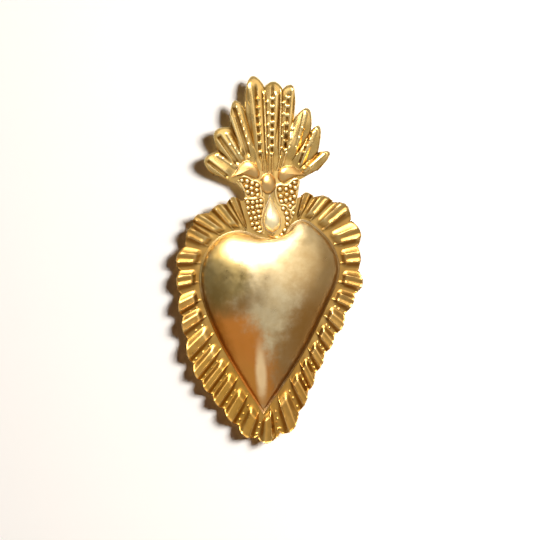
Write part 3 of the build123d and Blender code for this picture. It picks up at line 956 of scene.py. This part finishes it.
@dataclass
class FlameCrown:
    """The flame: nine fluted rays struck with rows of studs."""

    width: float = 68.8
    height: float = 63.3
    rise: float = 3.0
    breadth: float = 0.2
    focus_share: Place = (-0.012, 0.0)
    notch_shares: Places = (
        (-0.444, 0.194), (-0.401, 0.394), (-0.31, 0.6), (-0.188, 0.716), (-0.04, 0.942),
        (0.104, 0.926), (0.183, 0.649), (0.324, 0.551), (0.381, 0.381), (0.381, 0.233),
    )
    tip_shares: Places = (
        (-0.512, 0.319), (-0.429, 0.56), (-0.278, 0.823), (-0.15, 1.028), (0.036, 0.991),
        (0.187, 0.944), (0.305, 0.757), (0.397, 0.599), (0.476, 0.375),
    )
    inner_radius: float = 5.0
    root_radius: float = 22.6
    knee_share: float = 0.3
    knee_rise_share: float = 0.7
    knee_blend: float = 1.1
    knee_floor: float = 0.02
    ray_rise_shares: tuple[float, ...] = (1.0, 1.0, 0.9, 0.4, 0.4, 0.4, 0.9, 1.0, 1.0)
    across_steps: int = 36
    along_steps: int = 138
    rim_height: float = 0.55
    rim_half: float = 1.0
    rim_span: Place = (20.0, 30.0)
    flute_start: Place = (-0.03, 0.06)
    flute_end: Place = (0.9, 1.05)
    flute_core: float = 0.2
    hollow: tuple[int, float] = (14, 0.55)
    tail_width: float = 21.0
    tail_drop: float = 13.7
    tail_top: float = 9.0
    tail_steps: int = 9
    tail_shade: float = 0.15
    flutes: tuple[Flute, ...] = flute_table(
        (
            (249.5, 84, 259, 168, 2.2, 0.7), (255.4, 85, 260.2, 160, 1, -0.65),
            (272.4, 85, 271.8, 156, 1, -0.65), (288.2, 93, 284.9, 152, 1, -0.65),
            (284, 97, 282.2, 152, 0.8, -0.2), (264, 92, 267, 160, 1, 1.4),
            (277, 92, 274.6, 152, 1.9, 0.7), (281.2, 90, 279.4, 156, 0.9, 1.2),
            (293, 88, 289, 140, 1.6, 0.6), (262, 152, 264, 174, 0.7, 0.6),
            (267.4, 152, 268, 174, 0.7, 0.6), (272.6, 152, 272, 174, 0.7, 0.6),
            (280.5, 156, 277, 172, 0.8, 0.6), (286.5, 152, 281, 170, 0.8, 0.6),
            (234, 107, 249, 156, 1.5, -1.1), (229.5, 112, 243, 154, 1.2, 0.7),
            (218.5, 136, 238, 164, 1.9, -1.3), (227, 132.5, 243.5, 160.5, 1.5, 0.8),
            (207.5, 161, 228, 177, 1.4, -1.1), (217, 154, 237, 167.5, 1.7, 0.8),
            (305.5, 112, 294, 160, 1.7, 0.7), (315.5, 130, 300.5, 166, 1.7, 0.8),
            (308.5, 138, 299, 164, 0.9, -0.8), (325, 153, 303, 173, 1.5, 0.8),
            (319, 152.5, 304.5, 168, 1, -0.7),
        )
    )
    studs: tuple[StudRow, ...] = stud_table(
        (
            (257.6, 99, 260.6, 152, 7, 1.3, 0.95), (272.2, 98.6, 271.8, 154, 8, 1.3, 0.95),
            (287.8, 97.5, 284.9, 150, 7, 1.3, 0.95), (283.4, 103, 282, 148, 5, 0.9, 0.7),
            (267.4, 102, 268.6, 148, 5, 0.9, 0.6), (236.5, 108.5, 249, 144.5, 6, 1.1, 0.6),
            (292.4, 129, 289, 148, 3, 1, 0.6), (302.8, 128.5, 296.2, 148.5, 3, 1.1, 0.7),
            (230.6, 145.1, 240, 154, 3, 0.9, 0.5), (312, 133, 303.5, 152.5, 4, 1.1, 0.5),
            (224, 158.5, 232, 164.5, 2, 0.9, 0.4),
        )
    )

    def focus(self) -> Array:
        """Give the spot that the rays spring from."""
        return scaled(self.focus_share, self.width, self.height, NECK_HEIGHT)

    def lobe(self, one: Array, tip: Array, two: Array, share: Array) -> Array:
        """Draw a ray's rounded end from notch to notch."""
        pull = (tip - (one + two) / 8) * 4 / 3
        away = tip - self.focus()
        side = np.array([away[1], -away[0]]) / np.linalg.norm(away)
        spread = side * ((two - one) @ side) * self.breadth
        column = share[:, None]
        rest = 1.0 - column
        outer = 3 * rest**2 * column * (pull - spread) + 3 * rest * column**2 * (pull + spread)
        return rest**3 * one + outer + column**3 * two

    def ray(self, number: int, notches: Array, tip: Array) -> tuple[Array, Array]:
        """Draw one ray.

        Args:
            number: The ray's number from the left.
            notches: The places of all the notches.
            tip: The ray's tip.

        Returns:
            Its flat places and its heights, rows by columns, without the last column.
        """
        share = open_shares(self.across_steps, number == len(self.tip_shares) - 1)
        one, two = notches[number], notches[number + 1]
        rim = self.lobe(one, tip, two, share)
        focus = self.focus()
        ways = [(notch - focus) / np.linalg.norm(notch - focus) for notch in (one, two)]
        way = mix(ways[0], ways[1], share[:, None])
        inner = focus + way / np.linalg.norm(way, axis=1)[:, None] * self.inner_radius
        along = np.linspace(0.0, 1.0, self.along_steps)[:, None]
        flat = mix(inner, rim, along[:, :, None])
        reach = np.linalg.norm(flat - focus, axis=2)
        arch = 4 * self.rise * self.ray_rise_shares[number] * share * (1 - share)
        full = np.linalg.norm(rim - focus, axis=1)
        run = (reach - self.root_radius) / (full - self.root_radius)
        slope = (1 - self.knee_rise_share) / (1 - self.knee_share)
        upper = self.knee_rise_share + (run - self.knee_share) * slope
        lower = self.knee_rise_share * ease(run, 0.0, self.knee_share * self.knee_blend)
        height = arch * np.clip(np.minimum(upper, lower + self.knee_floor), 0.0, 1.0)
        edge = fall(np.linalg.norm(flat - rim, axis=2), 0.0, self.rim_half)
        height += self.rim_height * edge * ease(reach, *self.rim_span)
        return flat, height

    def strike(self, flat: Array) -> Array:
        """Add up the struck flutes and studs at flat places."""
        total = np.zeros(flat.shape[:2])
        for flute in self.flutes:
            start, end = PHOTO.places(flute.line_px)
            run = end - start
            share = (flat - start) @ run / (run @ run)
            nearest = start + np.clip(share, 0.0, 1.0)[..., None] * run
            off = np.linalg.norm(flat - nearest, axis=-1)
            gate = ease(share, *self.flute_start) * fall(share, *self.flute_end)
            total += flute.height * mound(off, flute.half, self.flute_core) * gate
        for row in self.studs:
            start, end = PHOTO.places(row.line_px)
            for spot in mix(start, end, np.linspace(0.0, 1.0, row.count)[:, None]):
                away = np.linalg.norm(flat - spot, axis=-1)
                total += row.height * mound(away, row.radius, STUD_CORE)
        return total

    def fan(self) -> Piece:
        """Press all the rays as one sheet."""
        notches = scaled(self.notch_shares, self.width, self.height, NECK_HEIGHT)
        tips = scaled(self.tip_shares, self.width, self.height, NECK_HEIGHT)
        rays = [self.ray(number, notches, tip) for number, tip in enumerate(tips)]
        flat, height = (np.concatenate(sides, axis=1) for sides in zip(*rays))
        struck = self.strike(flat)
        rows = standing(flat, FLANGE_LEVEL - height - struck)
        return lay_sheet("fluted_flame", rows, cavity(height + struck, *self.hollow))

    def tail(self) -> Piece:
        """Cut the flat tail that runs down the neck."""
        half, steps = self.tail_width / 2, self.tail_steps
        heights = np.linspace(NECK_HEIGHT - self.tail_drop, NECK_HEIGHT + self.tail_top, steps)
        rows = np.array([[(x, z) for x in np.linspace(-half, half, steps)] for z in heights])
        relief = np.full(rows.shape[:2], self.tail_shade)
        return lay_sheet("flame_tail", standing(rows, FLANGE_LEVEL), relief)

    def build(self, finish: GiltBrass) -> None:
        """Press the flame and dress it."""
        piece = join([self.fan(), self.tail()])
        mount(piece, finish.build(), "flame_crown", PLEAT_CREASE)


@dataclass(frozen=True)
class SmoothBoss:
    """A burnished hollow boss with a fine rim round its foot.

    Its crown and its strokes are shares of its size, seen from its start.
    """

    name: str
    node: str
    start: Place
    size: Place
    crown: Place
    half: float
    rise: float
    strokes: tuple[Places, ...]
    stroke_steps: int = 36
    softness: float = 0.75
    dome_steps: int = 20
    rim: Places = ((1.0, 0.0), (0.99, 0.16), (0.97, 0.2), (0.96, 0.08))
    groove: tuple[float, ...] = (0.2, -0.5, -0.3, 0.9, 0.8, 0.4, 0.1)

    def outline(self) -> Array:
        """Walk round the boss's foot."""
        steps = np.linspace(0.0, 1.0, self.stroke_steps + 1)[:-1]
        strokes = [np.array(stroke) * self.size + self.start for stroke in self.strokes]
        return np.concatenate([smooth_line(stroke, steps) for stroke in strokes])

    def build(self, material: Material) -> None:
        """Press the boss and dress it."""
        outline = self.outline()
        crown = np.array(self.crown) * self.size + self.start
        foot = [standing(mix(crown, outline, out), WING_LEVEL - lift) for out, lift in self.rim]
        dome = Dome(crown, self.half, WING_LEVEL, self.rise, self.softness, self.dome_steps)
        bulge = dome.rings(mix(crown, outline, self.rim[-1][0]))
        piece = press_boss(self.name, foot, bulge, self.groove)
        mount(piece, material, self.node, DOME_CREASE)


def half_oval(side: int) -> Places:
    """Draw half of an oval of width and height 1, the upper one for side 1."""
    turns = np.linspace(0.0, math.pi, OVAL_STEPS)
    return tuple((side * math.cos(turn) / 2, side * math.sin(turn) / 2) for turn in turns)


@dataclass(frozen=True)
class NeckJewels:
    """The smooth pieces of the neck: two leaves, the oval boss, the lip and the drop."""

    left_leaf: SmoothBoss = SmoothBoss(
        "left_laurel", "left_leaf", (0.0, NECK_HEIGHT), (15.4, 15.4), (-0.62, 0.992), 4.4, 2.6,
        strokes=(
            (
                (-1.382, 0.684), (-1.187, 0.939), (-0.939, 1.24), (-0.709, 1.293),
                (-0.443, 1.063), (-0.337, 0.797), (-0.4, 0.66), (-0.53, 0.64),
            ),
            ((-0.53, 0.64), (-0.9, 0.755), (-1.382, 0.684)),
        ),
    )
    right_leaf: SmoothBoss = SmoothBoss(
        "right_laurel", "right_leaf", (0.0, NECK_HEIGHT), (15.4, 15.4), (0.532, 0.815), 4.4, 2.6,
        strokes=(
            (
                (0.514, 0.496), (0.354, 0.552), (0.283, 0.744), (0.408, 1.021), (0.634, 1.12),
                (0.868, 1.07), (1.081, 0.921), (1.254, 0.769),
            ),
            ((1.254, 0.769), (0.974, 0.733), (0.691, 0.609), (0.514, 0.496)),
        ),
    )
    oval: SmoothBoss = SmoothBoss(
        "oval_jewel", "oval_boss", (-0.8, 63.5), (8.8, 11.7), (0.0, 0.0), 4.4, 3.2,
        strokes=(half_oval(1), half_oval(-1)),
    )
    drop: SmoothBoss = SmoothBoss(
        "hanging_drop", "drop_boss", (0.2, 57.7), (10.1, 21.4), (0.115, -0.657), 5.05, 3.6,
        strokes=(
            ((0, 0), (0.304, -0.299), (0.612, -0.631), (0.521, -0.86), (0.168, -1)),
            ((0.168, -1), (-0.236, -0.888), (-0.393, -0.657), (-0.209, -0.312), (0, 0)),
        ),
    )
    lip: SmoothBoss = SmoothBoss(
        "cleft_scroll", "cleft_lip", (-1.4, 36.0), (10.9, 10.9), (0.53, -0.2), 1.6, 1.4,
        strokes=(
            ((0, 0), (0.25, -0.235), (0.526, -0.321), (0.8, -0.2), (1, 0.055)),
            ((1, 0.055), (0.75, -0.055), (0.5, -0.075), (0.25, -0.055), (0, 0)),
        ),
    )

    def build(self, finish: GiltBrass, drop_finish: GiltBrass) -> None:
        """Press every smooth piece of the neck and dress it."""
        material = finish.build()
        for boss in (self.left_leaf, self.right_leaf, self.oval):
            boss.build(material)
        self.drop.build(drop_finish.build())
        self.lip.build(material)


def inside(places: Array, corners: Array) -> Array:
    """Tell which places lie inside a polygon."""
    found = np.zeros(places.shape[:-1], dtype=bool)
    for one, two in zip(corners, np.roll(corners, -1, axis=0)):
        spans = (one[1] > places[..., 1]) != (two[1] > places[..., 1])
        rise = two[1] - one[1] or TINY
        across = one[0] + (places[..., 1] - one[1]) / rise * (two[0] - one[0])
        found ^= spans & (places[..., 0] < across)
    return found


def distance(places: Array, line: Array) -> Array:
    """Measure how far places lie from a closed line."""
    nearest = np.full(places.shape[:-1], np.inf)
    for one, two in zip(line, np.roll(line, -1, axis=0)):
        run = two - one
        share = np.clip((places - one) @ run / (run @ run), 0.0, 1.0)
        away = np.linalg.norm(places - one - share[..., None] * run, axis=-1)
        nearest = np.minimum(nearest, away)
    return nearest


@dataclass
class BeadedWing:
    """One wing of the neck: thin sheet with raised borders round its fields of beads."""

    name: str
    node: str
    side: int
    outline: Places
    plots_px: tuple[Places, ...]
    beads_px: Places
    channel: float = 5.4
    cell: float = 0.24
    border_half: float = 0.85
    border_height: float = 0.5
    border_core: float = 0.3
    border_steps: int = 6
    bead_radius: float = 1.3
    bead_height: float = 1.1
    small_every: int = 3
    small_share: float = 0.9
    bead_shade_radius: float = 1.75
    bead_shade_start: float = 0.9
    bead_shade_core: float = 0.8
    bead_shade: float = 0.6
    field_shade: float = 0.18
    hollow: tuple[int, float] = (8, 0.35)

    def flat(self) -> Array:
        """Spread the sheet's places in rows between its outline and the channel."""
        corners = np.array(self.outline)
        edge = corners[np.argsort(corners[:, 1])]
        lows, highs = edge[0, 1], edge[-1, 1]
        heights = np.linspace(lows, highs, int((highs - lows) / self.cell))
        outer = np.interp(heights, edge[:, 1], edge[:, 0])
        inner = np.full(len(heights), self.side * self.channel / 2)
        columns = int(np.abs(outer - inner).max() / self.cell)
        share = np.linspace(0.0, 1.0, columns)
        across = outer[:, None] + (inner - outer)[:, None] * share
        return np.stack([across, np.broadcast_to(heights[:, None], across.shape)], axis=-1)

    def press(self, flat: Array) -> tuple[Array, Array]:
        """Press the borders and the beads, and paint shade in the fields and round each bead.

        Args:
            flat: The sheet's flat places.

        Returns:
            How far each stands forward, and how hollow or proud it is with the painted shade added.
        """
        height = np.zeros(flat.shape[:2])
        dark = np.zeros(flat.shape[:2])
        for plot in self.plots_px:
            corners = PHOTO.places((*plot, plot[0]))
            steps = self.border_steps * len(plot)
            walk = smooth_line(corners, np.arange(steps) / steps)
            ridge = mound(distance(flat, walk), self.border_half, self.border_core)
            height = np.maximum(height, self.border_height * ridge)
            # Painted shade: the ground inside each field is darkened.
            dark += self.field_shade * inside(flat, walk) * (1.0 - ridge)
        for number, spot in enumerate(PHOTO.places(self.beads_px)):
            away = np.linalg.norm(flat - spot, axis=-1)
            size = self.bead_radius * (1.0 if number % self.small_every else self.small_share)
            ball = np.sqrt(np.clip(1.0 - (away / size) ** 2, 0.0, 1.0))
            height = np.maximum(height, self.bead_height * ball)
            # Painted shade: a dark ring round each bead on the flat ground.
            well = fall(away, size * self.bead_shade_start, self.bead_shade_radius)
            well *= away > size * self.bead_shade_core
            dark = np.maximum(dark, self.bead_shade * well)
        return height, np.clip(dark + cavity(height, *self.hollow), -1.0, 1.0)

    def build(self, material: Material) -> None:
        """Press the wing and dress it."""
        flat = self.flat()
        height, relief = self.press(flat)
        piece = lay_sheet(self.name, standing(flat, WING_LEVEL - height), relief)
        thicken(piece)
        mount(piece, material, self.node, DOME_CREASE)


LEFT_WING = BeadedWing(
    name="left_beaded_wing",
    node="left_wing",
    side=-1,
    outline=(
        (-2.7, 70.4), (-13.4, 68.5), (-18.3, 64.4), (-13.6, 58.9), (-13.4, 54.5), (-10.9, 43.6),
        (-9.3, 38.7), (-5, 36.6), (-2.7, 36),
    ),
    plots_px=(
        (
            (237.5, 179.5), (243.2, 176.6), (248.5, 177.8), (252, 180.3), (257, 181.4),
            (260.2, 184.5), (261, 190.5), (261.2, 195.5), (255.5, 198.2), (248, 197.8),
            (245, 192), (242, 185.5),
        ),
        (
            (244.6, 199.2), (250, 199), (255.5, 199), (262, 197.2), (264.4, 203),
            (263.2, 212), (261.8, 222), (261.2, 231.6), (254.5, 230.8), (250.2, 226),
            (247.6, 218), (245, 208.5),
        ),
    ),
    beads_px=(
        (241.8, 180.6), (247.4, 181.3), (252.4, 183.2), (257.2, 185.4), (246.8, 186.6),
        (251.6, 188.4), (256.9, 190.3), (247.8, 192.2), (252.4, 193.9), (257.8, 195.2),
        (247.8, 202.4), (252.8, 202.6), (257.2, 201.6), (261.2, 201), (248, 208.2),
        (252.6, 207.6), (257.4, 206.6), (261, 206.2), (249, 213.6), (253.8, 213),
        (258.6, 211.6), (251, 218.8), (255.6, 218.2), (259.4, 216.8), (252.4, 224.2),
        (257, 223.6), (259.6, 227.8), (255, 228.6),
    ),
)

RIGHT_WING = BeadedWing(
    name="right_beaded_wing",
    node="right_wing",
    side=1,
    outline=(
        (2.7, 33.9), (4.6, 34.2), (7.4, 36), (11.2, 41.5), (14, 48), (16.6, 64.9),
        (11.2, 69.9), (2.7, 70.4),
    ),
    plots_px=(
        (
            (276.6, 186), (281.4, 184.6), (286, 185.4), (290.9, 182), (294.8, 179.2),
            (298.6, 179.6), (298.2, 185), (297, 193), (296.4, 201), (294.6, 206.4),
            (290.6, 210.4), (286, 206), (280.8, 204.8), (277.2, 199), (275.6, 192.5),
        ),
        (
            (290.8, 213), (292.8, 208.6), (296.2, 206.6), (297.2, 210), (295.8, 215.6),
            (293, 217.6),
        ),
    ),
    beads_px=(
        (294.6, 182.6), (290.4, 186.2), (295.6, 188), (286.2, 189.2), (280, 189.4),
        (292, 192.2), (286.8, 194.6), (281, 196.4), (294.6, 196.8), (290.4, 199.4),
        (281.6, 201.6), (286, 200.6), (293.2, 202.8), (290.2, 206.2), (293.6, 213.4),
        (283.6, 208.6), (286.6, 213.6), (287.6, 218.6), (287.2, 224.2), (285, 230.4),
        (282, 235.2),
    ),
)


@dataclass
class HangingGear:
    """What the wall side shows: the pan, the strap, its rivets and the wire ring."""

    ring_radius: float = 8.0
    wire_radius: float = 0.8
    ring_depth: float = -3.0
    hinge_lift: float = 1.3
    ring_steps: int = 96
    wire_steps: int = 20
    seam_share: float = 0.86
    seam_reach: float = 2.5
    seam_degrees: float = 1.0

    def ring(self) -> Piece:
        """Bend the wire ring, with the butted seam of its ends at the bottom."""
        centre = NECK_HEIGHT + self.hinge_lift - self.ring_radius
        bpy.ops.object.select_all(action="DESELECT")
        bpy.ops.mesh.primitive_torus_add(
            major_radius=self.ring_radius * MM,
            minor_radius=self.wire_radius * MM,
            major_segments=self.ring_steps,
            minor_segments=self.wire_steps,
            location=(0.0, self.ring_depth * MM, centre * MM),
            rotation=(math.pi / 2, 0.0, 0.0),
        )
        piece = named("wire_ring")
        bpy.ops.object.transform_apply(location=True, rotation=True, scale=True)
        edit_all(piece)
        bpy.ops.mesh.select_all(action="DESELECT")
        bpy.ops.object.mode_set(mode="OBJECT")
        low = min(vertex.co.z for vertex in piece.data.vertices)
        top = low + self.seam_reach * self.wire_radius * MM
        near = self.ring_radius * MM * math.radians(self.seam_degrees)
        for vertex in piece.data.vertices:
            vertex.select = vertex.co.z < top and abs(vertex.co.x) < near
        seam = (0.0, self.ring_depth * MM, low + self.wire_radius * MM)
        bpy.ops.object.mode_set(mode="EDIT")
        thin = (1.0, self.seam_share, self.seam_share)
        bpy.ops.transform.resize(value=thin, center_override=seam)
        bpy.ops.object.mode_set(mode="OBJECT")
        return piece

    def build(self, nodes: dict[str, Piece], finishes: WorkshopFinishes) -> None:
        """Bend the ring and dress everything behind."""
        wire, back = finishes.wire.build(), finishes.back.build()
        mount(self.ring(), wire, "hanging_ring", WIRE_CREASE, "ring")
        for node, material in (("back_pan", back), ("hanging_strap", back), ("strap_rivets", wire)):
            dress(nodes[node], material)
            log.info("%s keeps its solid", node)


@dataclass(frozen=True)
class SoftLamp:
    """A square lamp: its place and size in metres, its watts, and what it doesn't light."""

    name: str
    place: tuple[float, float, float]
    size: float
    watts: float
    tone: str
    unlit: str = ""
    aim: tuple[float, float, float] = (0.0, 0.0, 0.03)

    def hang(self) -> None:
        """Hang the lamp so that it faces the ornament."""
        away = np.array(self.place) - self.aim
        bpy.ops.object.light_add(type="AREA", location=self.place)
        lamp = named(self.name)
        lamp.data.size, lamp.data.energy = self.size, self.watts
        lamp.data.color = srgb(self.tone)[:3]
        tilt = math.atan2(math.hypot(away[0], away[1]), away[2])
        lamp.rotation_euler = (tilt, 0.0, math.atan2(away[0], -away[1]))
        if self.unlit:
            setattr(lamp, f"visible_{self.unlit}", False)


def lay_plane(name: str, size: float, place: tuple[float, float, float], tilt: float) -> Piece:
    """Lay a square plane at a place in metres, tilted up at its back by degrees."""
    bpy.ops.object.select_all(action="DESELECT")
    turn = (math.radians(tilt), 0.0, 0.0)
    bpy.ops.mesh.primitive_plane_add(size=size, location=place, rotation=turn)
    return named(name)


@dataclass
class Studio:
    """A pale wall and floor, soft lamps, and the camera at the photograph's place."""

    lens: float = 100.0
    sensor: float = 36.0
    centre_px: Place = (270.0, 270.0)
    wall_gap: float = 0.3
    wall_size: float = 1.6
    wall_tone: str = "#FAFAF8"
    floor_level: float = -0.9
    floor_size: float = 60.0
    floor_tone: str = "#E9E7E2"
    floor_share: float = 0.9
    bounce_tone: str = "#7A5A48"
    shade_tone: str = "#B48A6C"
    shade_strength: float = 0.05
    sky: tuple[tuple[float, str], ...] = (
        (0.0, "#8A6A48"), (0.47, "#D6CEC0"), (0.56, "#D2C8B6"), (0.8, "#EFE9DC")
    )
    side_span: Place = (-0.9, 0.3)
    side_light: Place = (0.55, 0.9)
    lamps: tuple[SoftLamp, ...] = (
        SoftLamp("key_lamp", (0.98, -1.06, 0.4), 0.5, 40.0, "#FFFAF4", "glossy"),
        SoftLamp("top_lamp", (-0.3, -0.76, 0.84), 0.72, 30.0, "#FFFCF8", "diffuse"),
        SoftLamp("side_lamp", (0.62, -1.4, 0.42), 1.1, 4.5, "#FFF6E8", "diffuse"),
        SoftLamp("back_lamp", (0.5, 1.0, 0.6), 0.8, 16.0, "#FFF6EA"),
    )

    def seen(self, tree: Tree) -> Socket:
        """Give 1 to what is seen directly, mirrored or through glass, and 0 to other light."""
        rays = add_node(tree, "LightPath").outputs
        total = rays["Is Camera Ray"]
        for ray in ("Is Glossy Ray", "Is Transmission Ray"):
            inputs = {0: total, 1: rays[ray]}
            total = add_node(tree, "Math", inputs, operation="MAXIMUM").outputs["Value"]
        return total

    def coat(self, tree: Tree, share: Socket, hidden: Node, shown: Node, kind: str) -> None:
        """Show one shader by a share and another for the rest.

        Args:
            tree: The node tree.
            share: How much of the second shader shows.
            hidden: The first shader.
            shown: The second shader.
            kind: The output node that takes them.
        """
        inputs = {0: share, 1: hidden.outputs[0], 2: shown.outputs[0]}
        shader = add_node(tree, "MixShader", inputs)
        add_node(tree, kind, {"Surface": shader.outputs[0]})

    def wall(self) -> None:
        """Hang the wall that catches the shadow and shows only from the front."""
        wall = lay_plane("plain_wall", self.wall_size, (0.0, self.wall_gap * MM, 0.0), 90.0)
        material, tree = blank_material("matt white wall paint")
        paint = add_node(tree, "BsdfDiffuse", {"Color": srgb(self.wall_tone)})
        clear = add_node(tree, "BsdfTransparent")
        inputs = {0: self.seen(tree), 1: add_node(tree, "NewGeometry").outputs["Backfacing"]}
        front = add_node(tree, "Math", inputs, operation="SUBTRACT", use_clamp=True)
        self.coat(tree, front.outputs["Value"], clear, paint, "OutputMaterial")
        dress(wall, material)

    def floor(self) -> None:
        """Lay the pale floor, well below the ornament."""
        floor = lay_plane("plain_floor", self.floor_size, (0.0, 0.0, self.floor_level), 0.0)
        material, tree = blank_material("pale floor paint")
        paint = add_node(tree, "BsdfDiffuse", {"Color": srgb(self.bounce_tone)})
        pale = add_node(tree, "Emission", {"Color": srgb(self.floor_tone)})
        inputs = {0: self.seen(tree), 1: self.floor_share}
        shown = add_node(tree, "Math", inputs, operation="MULTIPLY")
        self.coat(tree, shown.outputs["Value"], paint, pale, "OutputMaterial")
        dress(floor, material)

    def world(self) -> None:
        """Surround the ornament with a bright ceiling and a brown lower half."""
        world = bpy.data.worlds.new("studio")
        bpy.context.scene.world = world
        world.use_nodes = True
        tree = world.node_tree
        tree.nodes.clear()
        way = add_node(tree, "TexCoord").outputs["Generated"]
        parts = add_node(tree, "SeparateXYZ", {0: way}).outputs
        level = add_node(tree, "MapRange", spans(parts["Z"], -1.0, 1.0))
        ramp = add_node(tree, "ValToRGB", {"Fac": level.outputs["Result"]})
        elements = ramp.color_ramp.elements
        elements[0].position, elements[1].position = self.sky[0][0], self.sky[-1][0]
        for position, _ in self.sky[1:-1]:
            elements.new(position)
        for element, (_, tone) in zip(elements, self.sky):
            element.color = srgb(tone)
        inputs = spans(parts["X"], *self.side_span, *self.side_light)
        side = add_node(tree, "MapRange", inputs, interpolation_type=SOFT).outputs["Result"]
        room = add_node(tree, "Background", {"Color": ramp.outputs["Color"], "Strength": side})
        inputs = {"Color": srgb(self.shade_tone), "Strength": self.shade_strength}
        self.coat(tree, self.seen(tree), add_node(tree, "Background", inputs), room, "OutputWorld")

    def camera(self) -> None:
        """Stand the camera straight in front, as far off as its lens needs."""
        across, up = PHOTO.place(self.centre_px)
        away = PHOTO.frame_px * PHOTO.pixel / self.sensor * self.lens
        place = (across * MM, (FLANGE_LEVEL - away) * MM, up * MM)
        bpy.ops.object.camera_add(location=place, rotation=(math.pi / 2, 0.0, 0.0))
        camera = named("photograph_camera")
        camera.data.lens, camera.data.sensor_width = self.lens, self.sensor
        bpy.context.scene.camera = camera

    def build(self) -> None:
        """Set up the studio."""
        self.wall()
        self.floor()
        for lamp in self.lamps:
            lamp.hang()
        self.world()
        self.camera()
        bpy.context.scene.view_settings.view_transform = "Standard"


def main() -> None:
    """Build the dressed ornament in its studio."""
    logging.basicConfig(level=logging.INFO, format="%(name)s: %(message)s")
    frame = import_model()
    finishes = WorkshopFinishes()
    line = HeartLine()
    HeartDome(line).build(finishes.heart)
    PleatedBorder(line).build(finishes.border)
    FlameCrown().build(finishes.flame)
    NeckJewels().build(finishes.smooth, finishes.drop)
    beaded = finishes.wing.build()
    for wing in (LEFT_WING, RIGHT_WING):
        wing.build(beaded)
    HangingGear().build(frame["nodes"], finishes)
    Studio().build()


if __name__ == "__main__":
    main()
